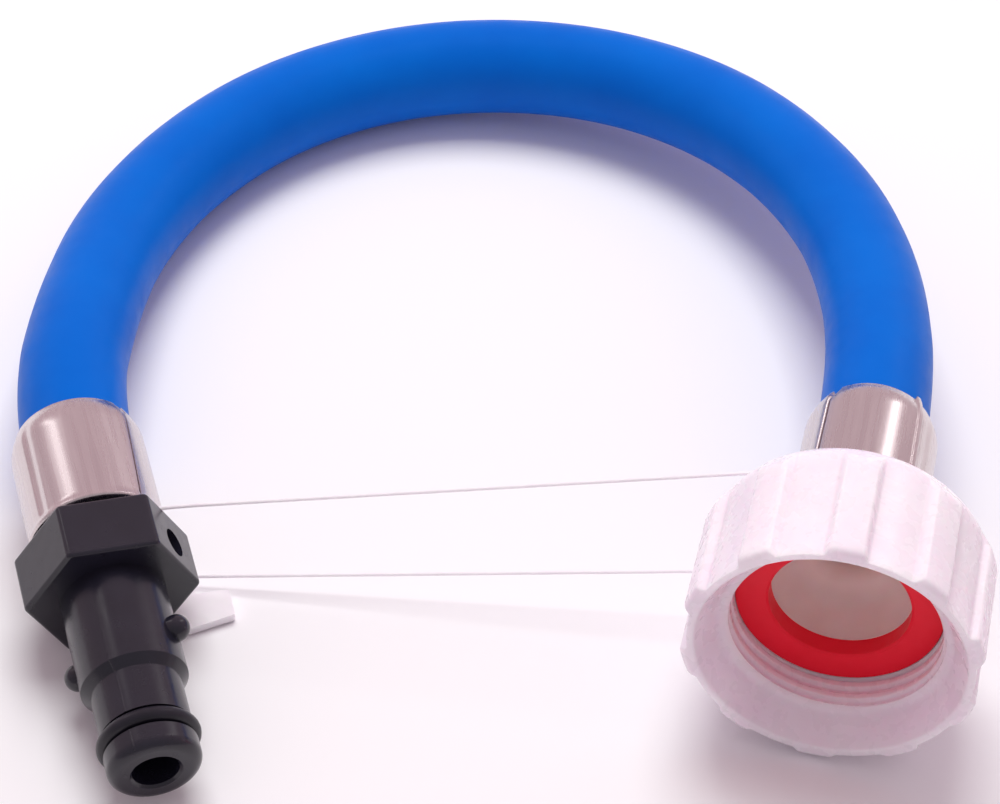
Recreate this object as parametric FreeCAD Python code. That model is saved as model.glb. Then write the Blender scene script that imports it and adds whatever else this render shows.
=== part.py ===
"""A short reinforced hose bent into a C, with a bayonet plug on one end and a coupling nut on the other.

Millimetres, +Z up. The assembly lies on the plane z = 0 on the back of the hose, the nut and the hexagon.
Every fitting is drawn along its own axis: local Z runs outward from the mouth of the ferrule (z = 0),
where the hose goes in, to the fitting's free end, and local X points up.
"""

import FreeCAD, Part
import math
import os
from FreeCAD import Vector

# ---- the hose: layers as (outer, inner) radii, in the open and where the stem swells it
COVER, COVER_SWOLLEN = (6.7, 5.35), (7.27, 6.1)
BRAID, BRAID_SWOLLEN = (5.31, 5.07), (6.07, 5.84)
LINER, LINER_SWOLLEN = (5.05, 4.0), (5.82, 4.95)
ROUTE_START = 9.0       # the route begins this far inside each ferrule's mouth
SWELL_FROM, SWELL_TO = 0.3, 2.9
HOSE_END = 13.5         # how far the hose goes into each ferrule
ARC_SHARE = 0.45        # the part of the shorter run that an arc takes at each of its ends

HOSE_ROUTE = [
    (-48.1, 12.4, 10.3),
    (-53.35, 27.4, 11.45),
    (-52.9, 44.9, 9.8),
    (-51.8, 62.1, 7.57),
    (-45.8, 77.6, 6.87),
    (-35.3, 91.6, 6.77),
    (-21.3, 101.1, 6.97),
    (-5.3, 105.1, 7.67),
    (11.7, 103.1, 8.97),
    (26.7, 95.1, 10.57),
    (37.7, 82.6, 12.27),
    (44.7, 67.6, 13.87),
    (47.6, 51.1, 15.27),
    (47.1, 33.6, 16.77),
    (44.1, 17.2, 17.07),
]

# ---- the crimped ferrules
FERRULE_R = 8.05
FERRULE_WALL = 0.58
FERRULE_LENGTH = 16.3
FERRULE_LIP = 0.6       # thickness of the end that closes on the neck
MOUTH_R = 6.8
RIM_R = 8.25
FOLD_HEIGHT = 0.12

# ---- the barbed stem that both fittings share
STEM_START = 1.2
STEM_ROOT_R, BARB_R = 4.35, 4.88
BARB_COUNT, BARB_PITCH, BARB_STEP = 4, 2.9, 0.25
COLLAR_R, COLLAR_FROM, COLLAR_TO = 6.6, 13.6, 15.6
NECK_R = 4.9
LIP_GAP = 0.05

# ---- the bayonet plug
PLUG_BORE_R = 2.68
HEX_FLATS, HEX_FROM, HEX_TO = 17.9, 17.4, 25.1
HEX_TURN = -2.6         # degrees from up to the nearest flat
HEX_CORNER_R, HEX_EDGE_R = 0.8, 0.5
DIMPLE_R, DIMPLE_DEPTH, DIMPLE_AT = 1.8, 1.0, 21.9
BARREL_R, BARREL_TO, SHOULDER_TO = 6.2, 37.7, 38.8
SPIGOT_R, GROOVE_R = 5.25, 4.1
GROOVE_FROM, GROOVE_TO = 44.4, 46.9
LAND_R, NOSE_AT, NOSE_EDGE_R = 5.4, 49.9, 1.3
PIN_R, PIN_TIP, PIN_AT = 1.6, 8.05, 33.2
PIN_TURN = HEX_TURN - 60.0
O_RING_SECTION_R = 0.92

# ---- the tailpiece, washer and coupling nut (a G3/4 joint)
TAIL_BORE_R = 3.0
TAIL_NECK_R = 6.6
FLANGE_R, FLANGE_FROM, FLANGE_TO = 11.9, 23.2, 27.8
DISH_R, THROAT_R = 8.1, 5.0
THROAT_AT, DISH_BOTTOM = 22.4, 19.4
WASHER_R, WASHER_BORE_R, WASHER_T = 11.95, 8.17, 2.48
NUT_BACK, NUT_FRONT = 19.55, 38.5
NUT_EDGE_R = 1.5
NUT_VALLEY_R, NUT_RIB_R = 16.19, 17.3
RIB_COUNT, RIB_TURN = 10, 1.5
RIB_FOOT, RIB_TOP = 9.0, 6.0    # half angles of a rib at its foot and top, degrees
NUT_HOLE_R, NUT_FLOOR = 7.2, 23.15
CHAMBER_R = 13.25
THREAD_R, THREAD_PITCH = 12.1, 1.814
THREAD_FROM, THREAD_TO = 30.6, 34.2
THREAD_DEPTH, GROOVE_MOUTH, GROOVE_ROOT = 0.65, 0.85, 0.4
OPENING_R = 15.2

# ---- the nylon tie that holds the ends together
TIE_R = 0.22
TIE_GAP = 0.06
TIE_PLUG_AT, TIE_NUT_AT = 16.85, 15.05
TIE_PLUG_TURNS = (159.5, -3.0)     # where the filament first and last touches each neck, degrees
TIE_NUT_TURNS = (8.4, -174.4)
LOCK_FROM, LOCK_T = 0.2, 1.1
LOCK_OUTLINE = [(-37.4, 9.0), (-35.7, 9.0), (-35.1, 6.4), (-34.5, 5.6), (-30.7, 6.7),
                (-29.5, 2.8), (-34.5, 0.1), (-36.4, -0.4), (-37.0, 4.6)]
EYE_R, EYE_LENGTH, EYE_AT = 0.85, 2.0, 1.6


# ---------------------------------------------------------------- helpers
def outline(points):
    """A closed face in the XZ plane. An entry is (r, z), or ((r, z), (r, z)) for an arc through one to the other."""
    at = Vector(points[0][0], 0, points[0][1])
    first, edges = at, []
    for entry in points[1:]:
        if isinstance(entry[0], tuple):
            mid, end = (Vector(r, 0, z) for r, z in entry)
            edges.append(Part.Arc(at, mid, end).toShape())
        else:
            end = Vector(entry[0], 0, entry[1])
            edges.append(Part.makeLine(at, end))
        at = end
    edges.append(Part.makeLine(at, first))
    return Part.Face(Part.Wire(edges))


def turned(points):
    """The solid that an outline makes when it is turned about Z."""
    return outline(points).revolve(Vector(0, 0, 0), Vector(0, 0, 1), 360)


def corner_mid(r, z, radius):
    """The middle of the arc that rounds an outer edge which would be at (r, z)."""
    share = radius * (1 - math.sqrt(0.5))
    return (r - share, z - share)


def polar(radius, degrees, z=0.0):
    """A point at an angle from local X, which is up."""
    a = math.radians(degrees)
    return Vector(radius * math.cos(a), radius * math.sin(a), z)


def fitting_placement(end, previous):
    """Places a fitting whose hose leaves it through the route's end point towards the previous one."""
    axis = (end - previous).normalize()
    up = (Vector(0, 0, 1) - axis * axis.z).normalize()
    mouth = end - axis * ROUTE_START
    return FreeCAD.Placement(mouth, FreeCAD.Rotation(up, axis.cross(up), axis, "ZXY"))


ROUTE = [Vector(*p) for p in HOSE_ROUTE]
PLUG_PLACE = fitting_placement(ROUTE[0], ROUTE[1])
NUT_PLACE = fitting_placement(ROUTE[-1], ROUTE[-2])


def placed(shape, place):
    moved = shape.copy()
    moved.Placement = place
    return moved


def rounded_path(points, name, trim=0.0):
    """Straight runs joined by tangent arcs, as one wire that starts and ends that far along the end runs."""
    edges, radii = [], []
    at = points[0] + (points[1] - points[0]).normalize() * trim
    stop = points[-1] + (points[-2] - points[-1]).normalize() * trim
    for before, corner, after in zip(points, points[1:], points[2:]):
        back, ahead = before - corner, after - corner
        half_turn = (math.pi - back.getAngle(ahead)) / 2
        cut = ARC_SHARE * min(back.Length, ahead.Length)
        radius = cut / math.tan(half_turn)
        start = corner + back.normalize() * cut
        end = corner + ahead.normalize() * cut
        inward = (back + ahead).normalize()
        centre = corner + inward * (radius / math.cos(half_turn))
        middle = centre - inward * radius
        edges.append(Part.LineSegment(at, start).toShape())
        edges.append(Part.Arc(start, middle, end).toShape())
        radii.append(round(radius, 1))
        at = end
    edges.append(Part.LineSegment(at, stop).toShape())
    wire = Part.Wire(edges)
    print(name, "length", round(wire.Length + 2 * trim, 2), "radii", radii)
    return wire


def tube(wire, radius):
    """A round bar along a wire."""
    first = wire.Edges[0]
    start, ahead = first.valueAt(first.FirstParameter), first.tangentAt(first.FirstParameter)
    section = Part.Wire(Part.makeCircle(radius, start, ahead))
    return wire.makePipeShell([section], True, False)


def barbs():
    """The outline of the stem's barbs, from its free end."""
    steps = [(STEM_ROOT_R - 0.45, STEM_START), (STEM_ROOT_R, STEM_START + 0.5)]
    for i in range(BARB_COUNT):
        z = STEM_START + 0.5 + i * BARB_PITCH
        steps += [(BARB_R, z + BARB_PITCH - BARB_STEP), (STEM_ROOT_R, z + BARB_PITCH)]
    return steps


# ---------------------------------------------------------------- the hose
def swollen_end(radius, swollen):
    """The solid under one surface of the hose where the stem swells it."""
    return turned([(0, SWELL_FROM), (radius, SWELL_FROM), (swollen, SWELL_TO),
                   (swollen, HOSE_END), (0, HOSE_END)])


def hose_layer(open_radii, swollen_radii, wire):
    """One layer of the hose: the solid under its outer surface less the solid under its inner one."""
    solids = []
    for radius, swollen in zip(open_radii, swollen_radii):
        end = swollen_end(radius, swollen)
        solids.append(tube(wire, radius).fuse([placed(end, PLUG_PLACE), placed(end, NUT_PLACE)]))
    return solids[0].cut(solids[1]).removeSplitter()


# ---------------------------------------------------------------- the ferrules
def ferrule_blank():
    inner = FERRULE_R - FERRULE_WALL
    front = FERRULE_LENGTH
    return turned([
        (MOUTH_R, 0.25), ((MOUTH_R + 0.25, 0.0), (MOUTH_R + 0.5, 0.25)),
        (FERRULE_R, SWELL_TO), (FERRULE_R, front - 1.0),
        (RIM_R, front - 0.6), ((RIM_R - 0.1, front - 0.15), (FERRULE_R - 0.45, front)),
        (NECK_R + LIP_GAP, front), (NECK_R + LIP_GAP, front - FERRULE_LIP),
        (inner, front - FERRULE_LIP), (inner, SWELL_TO), (MOUTH_R, 0.6)])


def lengthwise_bar(width, r_from, r_to, z_from, z_to, turn):
    bar = Part.makeBox(r_to - r_from, width, z_to - z_from, Vector(r_from, -width / 2, z_from))
    bar.rotate(Vector(0, 0, 0), Vector(0, 0, 1), turn)
    return bar


def ferrule(seam_turn, fold_turn, fold_width, tab):
    """A rolled sheet sleeve: its seam is a groove with a notch at the mouth, and its fold is a low ridge."""
    body = ferrule_blank()
    top, end = FERRULE_R + FOLD_HEIGHT, FERRULE_LENGTH - 1.2
    fold = lengthwise_bar(fold_width, FERRULE_R - 0.3, top, SWELL_TO, end, fold_turn)
    body = body.fuse(fold)
    if tab:
        body = body.fuse(lengthwise_bar(fold_width + 0.5, MOUTH_R + 0.04, MOUTH_R + 0.45, -tab, 0.5, fold_turn))
    seam = lengthwise_bar(0.16, FERRULE_R - 0.3, FERRULE_R + 1, -1, FERRULE_LENGTH - 1.0, seam_turn)
    notch = Part.makeCylinder(0.55, 4, Vector(MOUTH_R - 1, 0, 0.0), Vector(1, 0, 0))
    notch.rotate(Vector(0, 0, 0), Vector(0, 0, 1), seam_turn)
    return body.cut([seam, notch])


# ---------------------------------------------------------------- the bayonet plug
def plug_core():
    """The turned shape of the plug: barbed stem, neck, barrel, spigot with its O-ring groove, and nose."""
    return turned([(PLUG_BORE_R, STEM_START)] + barbs() + [
        (STEM_ROOT_R, COLLAR_FROM), (COLLAR_R, COLLAR_FROM), (COLLAR_R, COLLAR_TO), (NECK_R, COLLAR_TO),
        (NECK_R, HEX_FROM + 0.5), (BARREL_R, HEX_FROM + 0.5),
        (BARREL_R, BARREL_TO), (SPIGOT_R, SHOULDER_TO),
        (SPIGOT_R, GROOVE_FROM), (GROOVE_R, GROOVE_FROM), (GROOVE_R, GROOVE_TO), (LAND_R, GROOVE_TO),
        (LAND_R, NOSE_AT - NOSE_EDGE_R),
        (corner_mid(LAND_R, NOSE_AT, NOSE_EDGE_R), (LAND_R - NOSE_EDGE_R, NOSE_AT)),
        (PLUG_BORE_R + 0.3, NOSE_AT), (PLUG_BORE_R, NOSE_AT - 0.3)])


def hexagon():
    """The hexagon with its corners and edges rounded and the round blind hole in one flat."""
    corners = [polar(HEX_FLATS / 2 / math.cos(math.pi / 6), HEX_TURN + 30 + 60 * k, HEX_FROM) for k in range(7)]
    prism = Part.Face(Part.makePolygon(corners)).extrude(Vector(0, 0, HEX_TO - HEX_FROM))
    upright = [e for e in prism.Edges if abs(e.Vertexes[0].Z - e.Vertexes[1].Z) > 1]
    prism = prism.makeFillet(HEX_CORNER_R, upright)
    flat = [e for e in prism.Edges if abs(e.BoundBox.ZLength) < 0.01]
    prism = prism.makeFillet(HEX_EDGE_R, flat)
    floor = polar(HEX_FLATS / 2 - DIMPLE_DEPTH, PIN_TURN, DIMPLE_AT)
    hole = Part.makeCylinder(DIMPLE_R, 5, floor, polar(1, PIN_TURN))
    clear = Part.makeCylinder(NECK_R, HEX_TO - HEX_FROM, Vector(0, 0, HEX_FROM))
    return prism.cut([hole, clear])


def bayonet_pin(turn):
    """A round peg with a domed end, standing out of the barrel."""
    dome = PIN_TIP - PIN_R
    peg = turned([(0, BARREL_R - 1), (PIN_R, BARREL_R - 1), (PIN_R, dome),
                  ((PIN_R * math.sqrt(0.5), dome + PIN_R * math.sqrt(0.5)), (0, PIN_TIP))])
    peg.rotate(Vector(0, 0, 0), Vector(0, 1, 0), 90)
    peg.rotate(Vector(0, 0, 0), Vector(0, 0, 1), turn)
    peg.translate(Vector(0, 0, PIN_AT))
    return peg


def bayonet_plug():
    return plug_core().fuse([hexagon(), bayonet_pin(PIN_TURN), bayonet_pin(PIN_TURN + 180)]).removeSplitter()


def plug_o_ring():
    middle = (GROOVE_FROM + GROOVE_TO) / 2
    return Part.makeTorus(GROOVE_R + O_RING_SECTION_R + 0.01, O_RING_SECTION_R, Vector(0, 0, middle))


# ---------------------------------------------------------------- the nut end
def tailpiece():
    """Barbed stem, neck and a thick flange whose face is a dish that runs down to the bore."""
    return turned([(TAIL_BORE_R, STEM_START)] + barbs() + [
        (STEM_ROOT_R, COLLAR_FROM), (COLLAR_R, COLLAR_FROM), (COLLAR_R, COLLAR_TO), (NECK_R, COLLAR_TO),
        (NECK_R, FERRULE_LENGTH + 0.15), (TAIL_NECK_R, FERRULE_LENGTH + 0.5), (TAIL_NECK_R, FLANGE_FROM),
        (FLANGE_R - 0.3, FLANGE_FROM), (FLANGE_R, FLANGE_FROM + 0.3),
        (FLANGE_R, FLANGE_TO), (DISH_R, FLANGE_TO),
        ((7.4, 24.6), (THROAT_R, THROAT_AT)), ((3.55, 21.2), (TAIL_BORE_R, DISH_BOTTOM))])


def sealing_washer():
    back, front = FLANGE_TO + 0.02, FLANGE_TO + 0.02 + WASHER_T
    return turned([(WASHER_BORE_R, back), (WASHER_R, back), (WASHER_R, front - 0.15), (WASHER_R - 0.15, front),
                   (WASHER_BORE_R + 0.25, front), (WASHER_BORE_R, front - 0.25)])


def ribbed_bar():
    """The bar that the nut is cut from: low ribs with flat tops and slanted flanks."""
    pitch, edges = 360 / RIB_COUNT, []
    for k in range(RIB_COUNT):
        turn = RIB_TURN + k * pitch
        foot_a, top_a = polar(NUT_VALLEY_R, turn - RIB_FOOT), polar(NUT_RIB_R, turn - RIB_TOP)
        top_b, foot_b = polar(NUT_RIB_R, turn + RIB_TOP), polar(NUT_VALLEY_R, turn + RIB_FOOT)
        next_foot = polar(NUT_VALLEY_R, turn + pitch - RIB_FOOT)
        edges.append(Part.makeLine(foot_a, top_a))
        edges.append(Part.Arc(top_a, polar(NUT_RIB_R, turn), top_b).toShape())
        edges.append(Part.makeLine(top_b, foot_b))
        edges.append(Part.Arc(foot_b, polar(NUT_VALLEY_R, turn + pitch / 2), next_foot).toShape())
    bar = Part.Face(Part.Wire(edges)).extrude(Vector(0, 0, NUT_FRONT - NUT_BACK))
    upright = [e for e in bar.Edges if e.BoundBox.ZLength > 1]
    bar = bar.makeFillet(0.55, upright)
    bar.translate(Vector(0, 0, NUT_BACK))
    return bar


def nut_envelope():
    """The turned shape that rounds the nut's shoulder and its front edge."""
    outer = NUT_RIB_R + 0.2
    return turned([(0, NUT_BACK), (13.4, NUT_BACK), ((14.75, NUT_BACK + 0.5), (15.5, NUT_BACK + 1.5)),
                   ((16.35, NUT_BACK + 2.9), (outer, NUT_BACK + 4.2)), (outer, NUT_FRONT - NUT_EDGE_R),
                   (corner_mid(outer, NUT_FRONT, NUT_EDGE_R), (outer - NUT_EDGE_R, NUT_FRONT)), (0, NUT_FRONT)])


def nut_hollow():
    """The hole for the neck, the chamber for flange and washer, the thread's crest and the lead-in."""
    return turned([(0, NUT_BACK - 1), (NUT_HOLE_R, NUT_BACK - 1),
                   (NUT_HOLE_R, NUT_FLOOR), (CHAMBER_R, NUT_FLOOR),
                   (CHAMBER_R, THREAD_FROM - 0.25), (THREAD_R, THREAD_FROM), (THREAD_R, THREAD_TO),
                   (CHAMBER_R, THREAD_TO + 0.7), (OPENING_R, NUT_FRONT - 0.4),
                   (OPENING_R + 0.4, NUT_FRONT + 0.01), (0, NUT_FRONT + 0.01)])


def thread_groove():
    """The helical groove in the wall at the thread's crest, running out at both ends."""
    start = THREAD_FROM - THREAD_PITCH * 0.75
    turns = (THREAD_TO - THREAD_FROM) / THREAD_PITCH + 1.5
    helix = Part.makeHelix(THREAD_PITCH, turns * THREAD_PITCH, THREAD_R)
    crest, root = THREAD_R - 0.2, THREAD_R + THREAD_DEPTH
    mouth, bottom = GROOVE_MOUTH / 2 + 0.07, GROOVE_ROOT / 2
    corners = [Vector(crest, 0, -mouth), Vector(root, 0, -bottom), Vector(root, 0, bottom), Vector(crest, 0, mouth)]
    section = Part.makePolygon(corners + corners[:1])
    groove = Part.Wire(helix.Edges).makePipeShell([section], True, True)
    groove.translate(Vector(0, 0, start))
    return groove


def coupling_nut():
    return ribbed_bar().common(nut_envelope()).cut(nut_hollow()).cut(thread_groove())


# ---------------------------------------------------------------- the tie
def wrap(place, radius, along, turns):
    """Route points round a neck: three corners of a polygon whose sides touch the circle from turn to turn."""
    step = (turns[1] - turns[0]) / 3
    corner = radius / math.cos(math.radians(step / 2))
    return [place.multVec(polar(corner, turns[0] + step * (k + 0.5), along)) for k in range(3)]


def beside_hexagon(radius, turn):
    """The point beside the hexagon's corner on the line that touches the neck at that turn."""
    a, aside = math.radians(turn), -8.0
    height = (radius - aside * math.sin(a)) / math.cos(a)
    return PLUG_PLACE.multVec(Vector(height, aside, HEX_FROM - 0.4))


def tie_route():
    """From the lock round the plug's neck, across the top, round the nut's ferrule and under it to the lock."""
    plug_r = NECK_R + TIE_R + TIE_GAP
    nut_r = FERRULE_R + FOLD_HEIGHT + TIE_R + TIE_GAP
    low, high = (beside_hexagon(plug_r, turn) for turn in TIE_PLUG_TURNS)
    plug_side = wrap(PLUG_PLACE, plug_r, TIE_PLUG_AT, TIE_PLUG_TURNS)
    nut_side = wrap(NUT_PLACE, nut_r, TIE_NUT_AT, TIE_NUT_TURNS)
    seat = low + (nut_side[-1] - low).normalize() * EYE_AT
    return seat, [seat, low] + plug_side + [high] + nut_side


def tie_loop(route, seat):
    """The filament, whose two ends meet in the lock."""
    gap = (route[-1] - seat).normalize() * 0.4
    wire = rounded_path(route + [seat + gap], "tie")
    return tube(wire, TIE_R)


def tie_lock(seat, along):
    """A flat tab that lies near the ground, with an eye that holds both ends of the filament."""
    corners = [Vector(x, y, LOCK_FROM) for x, y in LOCK_OUTLINE]
    plate = Part.Face(Part.makePolygon(corners + corners[:1])).extrude(Vector(0, 0, LOCK_T))
    upright = [e for e in plate.Edges if e.BoundBox.XLength < 0.01 and e.BoundBox.YLength < 0.01]
    plate = plate.makeFillet(0.3, upright)
    plate = plate.fuse(Part.makeCylinder(EYE_R, EYE_LENGTH, seat - along * (EYE_LENGTH / 2), along))
    return plate.cut(Part.makeCylinder(TIE_R + TIE_GAP, 6, seat - along * 3, along))


# ---------------------------------------------------------------- the assembly
def build():
    wire = rounded_path(ROUTE, "hose", ROUTE_START - SWELL_FROM)
    seat, route = tie_route()
    return {
        "hose_cover": hose_layer(COVER, COVER_SWOLLEN, wire),
        "hose_braid": hose_layer(BRAID, BRAID_SWOLLEN, wire),
        "hose_liner": hose_layer(LINER, LINER_SWOLLEN, wire),
        "plug_ferrule": placed(ferrule(-44, 47, 0.5, 0), PLUG_PLACE),
        "nut_ferrule": placed(ferrule(48, -40, 0.8, 0.7), NUT_PLACE),
        "bayonet_plug": placed(bayonet_plug(), PLUG_PLACE),
        "plug_o_ring": placed(plug_o_ring(), PLUG_PLACE),
        "tailpiece": placed(tailpiece(), NUT_PLACE),
        "sealing_washer": placed(sealing_washer(), NUT_PLACE),
        "coupling_nut": placed(coupling_nut(), NUT_PLACE),
        "tie_loop": tie_loop(route, seat),
        "tie_lock": tie_lock(seat, (route[-1] - seat).normalize()),
    }


def main():
    os.makedirs("parts", exist_ok=True)
    for name, shape in build().items():
        box = shape.BoundBox
        print(name, shape.isValid(), len(shape.Solids), round(shape.Volume, 1),
              [round(v, 2) for v in (box.XMin, box.YMin, box.ZMin, box.XMax, box.YMax, box.ZMax)])
        shape.exportStep("parts/%s.step" % name)


main()
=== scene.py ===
"""The looks of a short hose with a bayonet plug and a coupling nut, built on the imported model."""

import math

import bpy
from mathutils import Matrix, Vector


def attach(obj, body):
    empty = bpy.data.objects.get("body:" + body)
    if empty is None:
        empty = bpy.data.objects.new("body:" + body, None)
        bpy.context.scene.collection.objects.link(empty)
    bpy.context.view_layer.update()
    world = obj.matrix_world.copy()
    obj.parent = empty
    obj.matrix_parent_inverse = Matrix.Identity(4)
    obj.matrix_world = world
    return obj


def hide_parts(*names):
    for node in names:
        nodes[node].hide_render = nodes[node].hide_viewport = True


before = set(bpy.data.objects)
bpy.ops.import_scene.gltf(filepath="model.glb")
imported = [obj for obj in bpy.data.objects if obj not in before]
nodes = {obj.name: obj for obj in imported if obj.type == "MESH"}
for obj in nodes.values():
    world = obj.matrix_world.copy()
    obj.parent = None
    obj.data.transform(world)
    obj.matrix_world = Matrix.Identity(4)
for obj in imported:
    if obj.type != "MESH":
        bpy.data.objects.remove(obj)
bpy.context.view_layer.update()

MM = 0.001
scene = bpy.context.scene

# ---------------------------------------------------------------- camera
CAMERA_AT = Vector((0.3, -209.14, 246.83)) * MM
CAMERA_FORWARD = Vector((0.0, 0.71507, -0.69905))
CAMERA_UP = Vector((-0.06828, 0.69742, 0.71340))
SENSOR_WIDTH, LENS = 36.0, 97.56


def add_camera():
    data = bpy.data.cameras.new("camera")
    data.sensor_width, data.lens = SENSOR_WIDTH, LENS
    data.clip_start, data.clip_end = 0.01, 20.0
    camera = bpy.data.objects.new("camera", data)
    scene.collection.objects.link(camera)
    forward = CAMERA_FORWARD.normalized()
    right = forward.cross(CAMERA_UP).normalized()
    up = right.cross(forward)
    turn = Matrix((right, up, -forward)).transposed().to_4x4()
    camera.matrix_world = Matrix.Translation(CAMERA_AT) @ turn
    scene.camera = camera


add_camera()

# ---------------------------------------------------------------- the hose, a free cord
HOSE_R = 6.7
ROUTE_START = 9.0            # how far inside a ferrule's mouth the route ends
HOSE_ROUTE = [
    (-48.1, 12.4, 10.3),
    (-53.0, 26.4, 11.37),
    (-53.5, 44.6, 9.7),
    (-51.8, 62.1, 7.57),
    (-45.8, 77.6, 6.87),
    (-35.3, 91.6, 6.77),
    (-21.3, 101.1, 6.97),
    (-5.3, 105.1, 7.67),
    (11.7, 103.1, 8.97),
    (26.7, 95.1, 10.57),
    (37.7, 82.6, 12.27),
    (44.7, 67.6, 13.87),
    (47.6, 51.1, 15.27),
    (47.1, 33.6, 16.77),
    (44.1, 17.2, 17.07),
]


def smooth_line(name, points, radius):
    """A round bar along a NURBS line, in metres, with the bar's radius on each point."""
    curve = bpy.data.curves.new(name, "CURVE")
    curve.dimensions = "3D"
    curve.resolution_u, curve.bevel_resolution = 24, 10
    curve.bevel_depth, curve.use_fill_caps = 1.0, True
    spline = curve.splines.new("NURBS")
    spline.points.add(len(points) - 1)
    for point, at in zip(spline.points, points):
        point.co, point.radius = (*at, 1.0), radius
    spline.order_u = 3
    spline.use_endpoint_u = True
    piece = bpy.data.objects.new(name, curve)
    scene.collection.objects.link(piece)
    return piece


def fitting_frame(end, previous):
    """Where a fitting sits: Z along its axis from the ferrule's mouth outward, X up."""
    end, previous = Vector(end) * MM, Vector(previous) * MM
    axis = (end - previous).normalized()
    up = (Vector((0, 0, 1)) - axis * axis.z).normalized()
    turn = Matrix((up, axis.cross(up), axis)).transposed().to_4x4()
    return Matrix.Translation(end - axis * ROUTE_START * MM) @ turn


PLUG_FRAME = fitting_frame(HOSE_ROUTE[0], HOSE_ROUTE[1])
NUT_FRAME = fitting_frame(HOSE_ROUTE[-1], HOSE_ROUTE[-2])

hose = smooth_line("hose", [Vector(p) * MM for p in HOSE_ROUTE], HOSE_R * MM)
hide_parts("hose_cover")
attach(hose, "hose")


# ---------------------------------------------------------------- shapes turned about an axis
def ease(value, low, high):
    """0 below low, 1 above high, and a smooth step between."""
    t = min(max((value - low) / (high - low), 0.0), 1.0)
    return t * t * (3 - 2 * t)


def apart(angle, other):
    """Degrees from one angle to another, -180 to 180."""
    return (angle - other + 180) % 360 - 180


def arc(centre, radius, start, stop, steps):
    """Outline points on an arc in the (r, z) plane, angles from the r direction."""
    turns = [math.radians(start + (stop - start) * i / steps) for i in range(steps + 1)]
    return [(centre[0] + radius * math.cos(t), centre[1] + radius * math.sin(t)) for t in turns]


def run(start, stop, steps):
    """Outline points on a straight line, without its first one."""
    step_r, step_z = (stop[0] - start[0]) / steps, (stop[1] - start[1]) / steps
    return [(start[0] + step_r * i, start[1] + step_z * i) for i in range(1, steps + 1)]


SEGMENTS = 720
SHARP_FROM = 38.0            # degrees between faces


def turned(name, outline, place, body, node, shape):
    """A ring-shaped piece: a closed (r, z) outline in mm turned about Z and reshaped point by point."""
    count, verts, faces = len(outline), [], []
    for k in range(SEGMENTS):
        for i, (r, z) in enumerate(outline):
            r, z, angle = shape(i, r, z, 360.0 * k / SEGMENTS)
            c, s = math.cos(math.radians(angle)), math.sin(math.radians(angle))
            verts.append(place @ Vector((r * c * MM, r * s * MM, z * MM)))
        here, there = k * count, (k + 1) % SEGMENTS * count
        for i in range(count):
            j = (i + 1) % count
            faces.append((here + i, there + i, there + j, here + j))
    mesh = bpy.data.meshes.new(name)
    mesh.from_pydata(verts, [], faces)
    mesh.shade_smooth()
    mesh.set_sharp_from_angle(angle=math.radians(SHARP_FROM))
    piece = bpy.data.objects.new(name, mesh)
    scene.collection.objects.link(piece)
    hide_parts(node)
    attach(piece, body)
    return piece


# ---------------------------------------------------------------- the crimped ferrules
SLEEVE_R, SLEEVE_BORE_R, SLEEVE_END = 8.05, 7.47, 16.3
NECK_HOLE_R = 4.95
SEAM_LIFT, SEAM_GROOVE, NOTCH_DEPTH = 0.16, 0.5, 0.75
FOLD_HEIGHT = 0.15


def ferrule_outline():
    """The sleeve's section: rolled rim at the mouth, flare, body, rounded end and the lip on the neck."""
    mouth = arc((7.06, 0.24), 0.24, 180, 300, 8)
    flare = [(7.28, 0.35), (7.45, 0.7), (7.66, 1.2), (7.84, 1.75), (7.96, 2.3), (8.03, 2.9)]
    body = [(SLEEVE_R, 3.3)] + run((SLEEVE_R, 3.3), (SLEEVE_R, 15.1), 34)
    end = [(8.12, 15.4)] + arc((7.82, 15.85), 0.43, 0, 90, 8)
    lip = [(6.6, SLEEVE_END), (5.0, SLEEVE_END), (NECK_HOLE_R, 16.2), (NECK_HOLE_R, 15.75),
           (6.6, 15.7), (7.4, 15.65)]
    inside = [(SLEEVE_BORE_R, 12.0), (SLEEVE_BORE_R, 6.0), (7.46, 3.0), (7.2, 1.8), (6.88, 0.8)]
    return mouth + flare + body + end + lip + inside


def ferrule(name, place, node, seam, fold, creases, tab):
    """A sleeve with its seam and creases, and a fold whose end is a small tab at the mouth.

    seam and fold are (angle at the mouth, angle at the end), creases are (angle, depth, half width),
    and tab is how far the fold stands out past the mouth.
    """
    outline = ferrule_outline()
    outer = max(i for i, (r, z) in enumerate(outline) if r >= 7.8)

    def shape(i, r, z, angle):
        if i > outer:
            return r, z, angle
        along = min(max(z / 15.7, 0.0), 1.0)
        slant = (seam[1] - seam[0]) * along
        from_seam = apart(angle, seam[0])
        fade = 1 - ease(z, 14.9, 15.7)
        lifted = SEAM_LIFT * (1 - ease(from_seam, 0.0, 14.0)) * ease(from_seam, -1.3, 0.0)
        groove = SEAM_GROOVE * (1 - ease(abs(from_seam + 1.5), 0.65, 1.35))
        r += fade * (lifted - groove) * ease(z, 0.2, 1.4)
        for turn, depth, half in creases:
            pressed = 1 - ease(abs(apart(angle + slant, turn)), 0.0, half)
            r -= depth * pressed * fade * ease(z, 0.6, 2.6)
        if fold:
            across = abs(apart(angle + slant, fold[0] + (fold[1] - fold[0]) * along))
            r += FOLD_HEIGHT * (1 - ease(across, 2.0, 3.6)) * fade
            z -= tab * (1 - ease(across, 2.6, 4.0)) * (1 - ease(z, 0.3, 2.0))
        notch = (1 - ease(abs(from_seam + 2.0), 2.0, 5.5)) * (1 - ease(z, 0.3, 2.2))
        return r, z + NOTCH_DEPTH * notch, angle + slant

    return turned(name, outline, place, "hose", node, shape)


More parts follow.
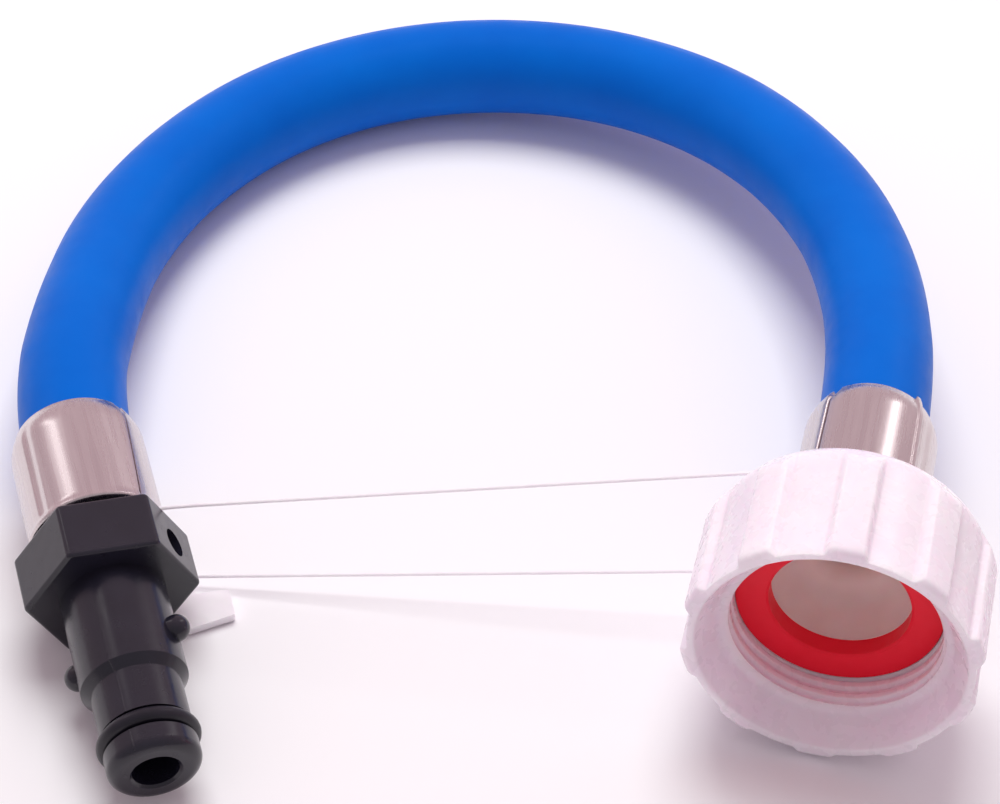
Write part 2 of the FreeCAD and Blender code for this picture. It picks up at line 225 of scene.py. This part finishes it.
plug_sleeve = ferrule("plug_sleeve", PLUG_FRAME, "plug_ferrule", seam=(-47.7, -39.3), fold=None,
                      creases=[(49.0, 0.16, 7.0), (118.0, 0.08, 9.0)], tab=0.0)
nut_sleeve = ferrule("nut_sleeve", NUT_FRAME, "nut_ferrule", seam=(46.8, 49.3), fold=(-39.5, -40.5),
                     creases=[(-52.0, 0.1, 8.0)], tab=0.65)

# ---------------------------------------------------------------- the plug's parting lines
RIDGE = ((-0.17, -0.05), (-0.06, 0.07), (0.06, 0.07), (0.17, -0.05))   # across and outward, mm
BARREL_LINE = [(6.2, 25.0), (6.2, 37.7), (5.25, 38.8), (5.25, 44.4)]
TIP_LINE = [(5.4, 46.9), (5.4, 48.6), (5.3, 49.1), (5.02, 49.52)]


def parting_line(name, turn):
    """A fine ridge along the plug, where the two halves of its mould met."""
    verts, faces = [], []
    for line in (BARREL_LINE, TIP_LINE):
        first = len(verts)
        for r, z in line:
            for across, out in RIDGE:
                angle = math.radians(turn) + across / r
                at = Vector(((r + out) * math.cos(angle), (r + out) * math.sin(angle), z))
                verts.append(PLUG_FRAME @ (at * MM))
        for k in range(first, len(verts) - 4, 4):
            faces += [(k + i, k + (i + 1) % 4, k + 4 + (i + 1) % 4, k + 4 + i) for i in range(4)]
        faces += [tuple(range(first + 3, first - 1, -1)), tuple(range(len(verts) - 4, len(verts)))]
    mesh = bpy.data.meshes.new(name)
    mesh.from_pydata(verts, [], faces)
    piece = bpy.data.objects.new(name, mesh)
    scene.collection.objects.link(piece)
    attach(piece, "hose")
    return piece


parting_lines = [parting_line("parting_line_left", 25.5), parting_line("parting_line_right", 205.5)]

# ---------------------------------------------------------------- the coupling nut
RIB_COUNT, RIB_TURN = 10, 1.5
VALLEY_R, RIB_HEIGHT = 16.19, 1.11
RIB_TOP, RIB_FOOT = 5.4, 9.0          # degrees from a rib's middle to where its side starts and ends
RIB_SOFTNESS = 0.18
GRIP_R, NUT_BACK, NUT_FRONT, FRONT_EDGE_R = 17.3, 19.55, 38.5, 1.0
NECK_OPENING_R, THREAD_R, WASHER_SEAT_R, CHAMBER_R = 7.25, 12.1, 12.02, 13.25
THREAD_START, THREAD_PITCH, THREAD_DEPTH = 29.24, 1.814, 0.4


def nut_outline():
    """The nut's section: shoulder, grip, front, lead-in, thread wall, chamber, floor and neck hole."""
    back = [(NECK_OPENING_R, 19.6), (7.4, NUT_BACK), (9.5, NUT_BACK), (12.0, NUT_BACK), (13.3, 19.57)]
    shoulder = [(14.1, 19.72), (14.75, 20.02), (15.25, 20.45), (15.62, 20.98), (15.95, 21.55),
                (16.3, 22.2), (16.65, 22.85), (17.0, 23.5), (GRIP_R, 24.2)]
    grip = run((GRIP_R, 24.2), (GRIP_R, 37.0), 28)
    corner = (GRIP_R - FRONT_EDGE_R, NUT_FRONT - FRONT_EDGE_R)
    front = arc(corner, FRONT_EDGE_R, 6, 90, 12) + [(15.7, NUT_FRONT)]
    lead_in = arc((15.6, 38.1), 0.4, 90, 165, 6) + run((15.18, 38.0), (13.35, 34.95), 8)
    wall = [(12.9, 34.65), (12.45, 34.4), (THREAD_R, 34.2)] + run((THREAD_R, 34.2), (THREAD_R, 30.45), 50)
    chamber = [(WASHER_SEAT_R, 30.2), (WASHER_SEAT_R, 28.8), (12.1, 28.7), (13.2, 28.6), (CHAMBER_R, 28.5),
               (CHAMBER_R, 23.2), (13.2, 23.15), (NECK_OPENING_R, 23.15), (7.2, 23.1)]
    return back + shoulder + grip + front + lead_in + wall + chamber


def nut_shape(i, r, z, angle):
    """Ribs on the grip and the helical groove in the thread wall."""
    if r > 15.3 or (r > 14.0 and z < 22.0):
        pitch = 360 / RIB_COUNT
        across = abs((angle - RIB_TURN + pitch / 2) % pitch - pitch / 2)
        limit = VALLEY_R + RIB_HEIGHT * (1 - ease(across, RIB_TOP, RIB_FOOT))
        past = r - limit
        r = limit
        if past < 4 * RIB_SOFTNESS:
            r -= RIB_SOFTNESS * math.log1p(math.exp(-past / RIB_SOFTNESS))
    elif 30.3 < z < 34.9 and r < 13.0:
        turn = (z - THREAD_START) / THREAD_PITCH - angle / 360
        off = abs(turn - round(turn)) * THREAD_PITCH
        r = max(r, THREAD_R + THREAD_DEPTH * (1 - ease(off, 0.12, 0.62)))
    return r, z, angle


nut = turned("grip_nut", nut_outline(), NUT_FRAME, "nut", "coupling_nut", nut_shape)


# ---------------------------------------------------------------- materials
def srgb(red, green, blue):
    """A linear colour from 0 to 255 display values."""
    def linear(v):
        v /= 255
        return v / 12.92 if v <= 0.04045 else ((v + 0.055) / 1.055) ** 2.4
    return (linear(red), linear(green), linear(blue), 1.0)


NOISE_LOW, NOISE_HIGH = 0.3, 0.7      # the middle range of a noise value


class Material:
    """A node material being put together."""

    def __init__(self, name):
        self.material = bpy.data.materials.new(name)
        self.material.use_nodes = True
        self.tree = self.material.node_tree
        self.shader = self.tree.nodes["Principled BSDF"]

    def set(self, **values):
        """Set the shader's own inputs."""
        for key, value in values.items():
            self.shader.inputs[key.replace("_", " ")].default_value = value
        return self

    def node(self, kind, **inputs):
        made = self.tree.nodes.new(kind)
        for key, value in inputs.items():
            made.inputs[key.replace("_", " ")].default_value = value
        return made

    def link(self, source, target):
        self.tree.links.new(source, target)

    def where(self, stretch=1.0, place=Matrix()):
        """Coordinates in millimetres along a fitting's own axes, drawn out along its Z."""
        coordinates = self.node("ShaderNodeTexCoord")
        mapping = self.node("ShaderNodeMapping", Rotation=place.to_euler(), Scale=(MM, MM, MM * stretch))
        mapping.vector_type = "TEXTURE"
        self.link(coordinates.outputs["Object"], mapping.inputs["Vector"])
        return mapping.outputs["Vector"]

    def noise(self, size, detail=2.0, where=None):
        """A noise value whose features are about that many millimetres across."""
        noise = self.node("ShaderNodeTexNoise", Scale=1 / size, Detail=detail, Roughness=0.5)
        self.link(where or self.where(), noise.inputs["Vector"])
        return noise.outputs["Fac"]

    def colour(self, value, dark, light):
        """Colour the piece from dark to light, 0 to 255 display values, over the value's middle range."""
        ramp = self.node("ShaderNodeValToRGB")
        self.link(value, ramp.inputs["Fac"])
        stops = ((NOISE_LOW, dark), (NOISE_HIGH, light))
        for element, (position, shade) in zip(ramp.color_ramp.elements, stops):
            element.position, element.color = position, srgb(*shade)
        self.link(ramp.outputs["Color"], self.shader.inputs["Base Color"])

    def roughness(self, value, low, high):
        """Vary the piece's roughness with the value."""
        self.link(self.spread(value, low, high), self.shader.inputs["Roughness"])

    def spread(self, value, low, high):
        """The value's middle range mapped on to low to high."""
        mapped = self.node("ShaderNodeMapRange", From_Min=NOISE_LOW, From_Max=NOISE_HIGH,
                           To_Min=low, To_Max=high)
        self.link(value, mapped.inputs["Value"])
        return mapped.outputs["Result"]

    def bump(self, value, height_mm):
        """Surface relief that many millimetres deep."""
        bump = self.node("ShaderNodeBump", Distance=height_mm * MM, Strength=1.0)
        self.link(value, bump.inputs["Height"])
        self.link(bump.outputs["Normal"], self.shader.inputs["Normal"])
        return self


def hose_material():
    """Smooth blue vinyl with a slight unevenness."""
    m = Material("blue_vinyl").set(Specular_IOR_Level=0.08)
    m.colour(m.noise(14.0, 3.0), (0, 98, 201), (0, 106, 209))
    m.roughness(m.noise(3.0, 4.0), 0.36, 0.48)
    return m.bump(m.noise(6.0, 2.0), 0.05).material


def steel_material(place):
    """Satin stainless sheet, rolled, with fine scratches along the sleeve."""
    m = Material("satin_steel").set(Metallic=1.0)
    streaks = m.noise(0.7, 4.0, where=m.where(18.0, place))
    m.colour(streaks, (208, 200, 200), (220, 213, 212))
    m.roughness(streaks, 0.24, 0.31)
    return m.bump(m.noise(0.4, 3.0, where=m.where(30.0, place)), 0.003).material


def black_plastic():
    """Black acetal with a soft sheen."""
    m = Material("black_acetal").set(Specular_IOR_Level=0.5)
    m.colour(m.noise(5.0, 3.0), (24, 23, 34), (30, 29, 41))
    m.roughness(m.noise(1.5, 4.0), 0.2, 0.28)
    return m.bump(m.noise(0.9, 3.0), 0.006).material


def black_rubber():
    """Black rubber, duller than the plug."""
    m = Material("black_rubber").set(Specular_IOR_Level=0.4)
    m.colour(m.noise(2.0), (20, 19, 28), (26, 25, 35))
    m.roughness(m.noise(0.8), 0.34, 0.44)
    return m.bump(m.noise(0.5), 0.005).material


def milky_plastic():
    """Natural polyamide: light goes a little way in."""
    m = Material("natural_nylon").set(Subsurface_Weight=0.8, Subsurface_Scale=0.002,
                                      Subsurface_Radius=(1.0, 0.8, 0.9), Specular_IOR_Level=0.5)
    m.colour(m.noise(9.0, 3.0), (242, 230, 240), (247, 238, 245))
    m.roughness(m.noise(2.0, 2.0), 0.24, 0.32)
    return m.bump(m.noise(6.0, 1.0), 0.01).material


def tail_plastic():
    """Unpigmented plastic, greyer than the nut."""
    m = Material("natural_tailpiece").set(Subsurface_Weight=0.3, Subsurface_Scale=0.001,
                                          Specular_IOR_Level=0.5)
    m.colour(m.noise(5.0, 2.0), (238, 214, 208), (244, 224, 218))
    m.roughness(m.noise(2.0, 2.0), 0.28, 0.36)
    return m.bump(m.noise(1.2, 2.0), 0.01).material


def red_rubber():
    """Matt red rubber."""
    m = Material("red_rubber").set(Specular_IOR_Level=0.3)
    m.colour(m.noise(3.0, 3.0), (246, 14, 44), (250, 20, 50))
    m.roughness(m.noise(0.8, 4.0), 0.38, 0.5)
    return m.bump(m.noise(0.5, 4.0), 0.008).material


def clear_nylon():
    """Thin natural nylon, which looks nearly white in this light."""
    m = Material("clear_nylon").set(Subsurface_Weight=0.6, Subsurface_Scale=0.001,
                                    Subsurface_Radius=(1.0, 0.9, 1.0), Specular_IOR_Level=0.3)
    m.colour(m.noise(3.0), (246, 238, 246), (250, 244, 250))
    m.roughness(m.noise(2.0), 0.3, 0.4)
    return m.bump(m.noise(3.0), 0.004).material


def yarn():
    """Polyester yarn, which the hose's cover hides."""
    m = Material("braid_yarn").set(Roughness=0.8)
    m.colour(m.noise(0.7, 3.0), (200, 200, 196), (228, 228, 224))
    return m.bump(m.noise(0.5), 0.1).material


def clear_liner():
    """Clear vinyl, which the hose's other layers hide."""
    m = Material("clear_liner").set(Roughness=0.3, IOR=1.5)
    m.colour(m.noise(4.0), (196, 206, 214), (212, 220, 226))
    return m.bump(m.noise(1.0), 0.01).material


def paint(piece, material):
    """Give a piece its one material."""
    piece.data.materials.clear()
    piece.data.materials.append(material)


paint(hose, hose_material())
paint(nodes["hose_braid"], yarn())
paint(nodes["hose_liner"], clear_liner())
paint(plug_sleeve, steel_material(PLUG_FRAME))
paint(nut_sleeve, steel_material(NUT_FRAME))
black = black_plastic()
paint(nodes["bayonet_plug"], black)
for ridge in parting_lines:
    paint(ridge, black)
paint(nodes["plug_o_ring"], black_rubber())
paint(nut, milky_plastic())
paint(nodes["tailpiece"], tail_plastic())
paint(nodes["sealing_washer"], red_rubber())
paint(nodes["tie_loop"], clear_nylon())
paint(nodes["tie_lock"], clear_nylon())


# ---------------------------------------------------------------- the set
FLOOR_HALF = 3.0             # metres
LIGHTS_AIM_AT = Vector((0, 30, 10)) * MM
FRONT_SKY, BACK_SKY = (0.42, 0.38, 0.41, 1.0), (0.68, 0.51, 0.56, 1.0)
SKY_FROM, SKY_TO = -0.7, 0.5          # Y of the directions where the sky starts and ends changing


def floor():
    """A plain pale floor."""
    corners = [(-1, -1), (1, -1), (1, 1), (-1, 1)]
    mesh = bpy.data.meshes.new("floor")
    mesh.from_pydata([(x * FLOOR_HALF, y * FLOOR_HALF, 0) for x, y in corners], [], [(0, 1, 2, 3)])
    plane = bpy.data.objects.new("floor", mesh)
    scene.collection.objects.link(plane)
    m = Material("pale_floor").set(Roughness=0.9, Specular_IOR_Level=0.1)
    m.colour(m.noise(300.0), (246, 245, 247), (250, 249, 251))
    paint(plane, m.material)


def soft_light(name, at, size, watts, colour=(1, 1, 1), lights="diffuse"):
    """A rectangular light, which either lights the surfaces or is only seen reflected in them."""
    data = bpy.data.lights.new(name, "AREA")
    data.shape, data.size, data.size_y = "RECTANGLE", size[0] * MM, size[1] * MM
    data.energy, data.color = watts, colour
    light = bpy.data.objects.new(name, data)
    light.location = Vector(at) * MM
    light.rotation_euler = (LIGHTS_AIM_AT - light.location).to_track_quat("-Z", "Y").to_euler()
    scene.collection.objects.link(light)
    light.visible_diffuse = lights == "diffuse"
    light.visible_glossy = lights == "glossy"


def sky():
    """A soft surround, a dull pink behind the object and dimmer in front of it."""
    world = bpy.data.worlds.new("soft_sky")
    world.use_nodes = True
    tree = world.node_tree
    background = tree.nodes["Background"]
    background.inputs["Strength"].default_value = 1.0
    direction = tree.nodes.new("ShaderNodeTexCoord")
    parts = tree.nodes.new("ShaderNodeSeparateXYZ")
    mapped = tree.nodes.new("ShaderNodeMapRange")
    mapped.inputs["From Min"].default_value = SKY_FROM
    mapped.inputs["From Max"].default_value = SKY_TO
    ramp = tree.nodes.new("ShaderNodeValToRGB")
    for element, colour in zip(ramp.color_ramp.elements, (FRONT_SKY, BACK_SKY)):
        element.color = colour
    tree.links.new(direction.outputs["Generated"], parts.inputs["Vector"])
    tree.links.new(parts.outputs["Y"], mapped.inputs["Value"])
    tree.links.new(mapped.outputs["Result"], ramp.inputs["Fac"])
    tree.links.new(ramp.outputs["Color"], background.inputs["Color"])
    scene.world = world


floor()
sky()
soft_light("key", at=(-40, 280, 620), size=(380, 380), watts=3.2, colour=(0.96, 1.0, 0.98))
soft_light("left_glint", at=(-470, 300, 400), size=(50, 260), watts=0.12, lights="glossy")
soft_light("right_glint", at=(330, 420, 420), size=(60, 260), watts=0.2, lights="glossy")
scene.view_settings.view_transform = "Standard"
scene.view_settings.look = "None"

# ---------------------------------------------------------------- last update
bpy.context.view_layer.update()
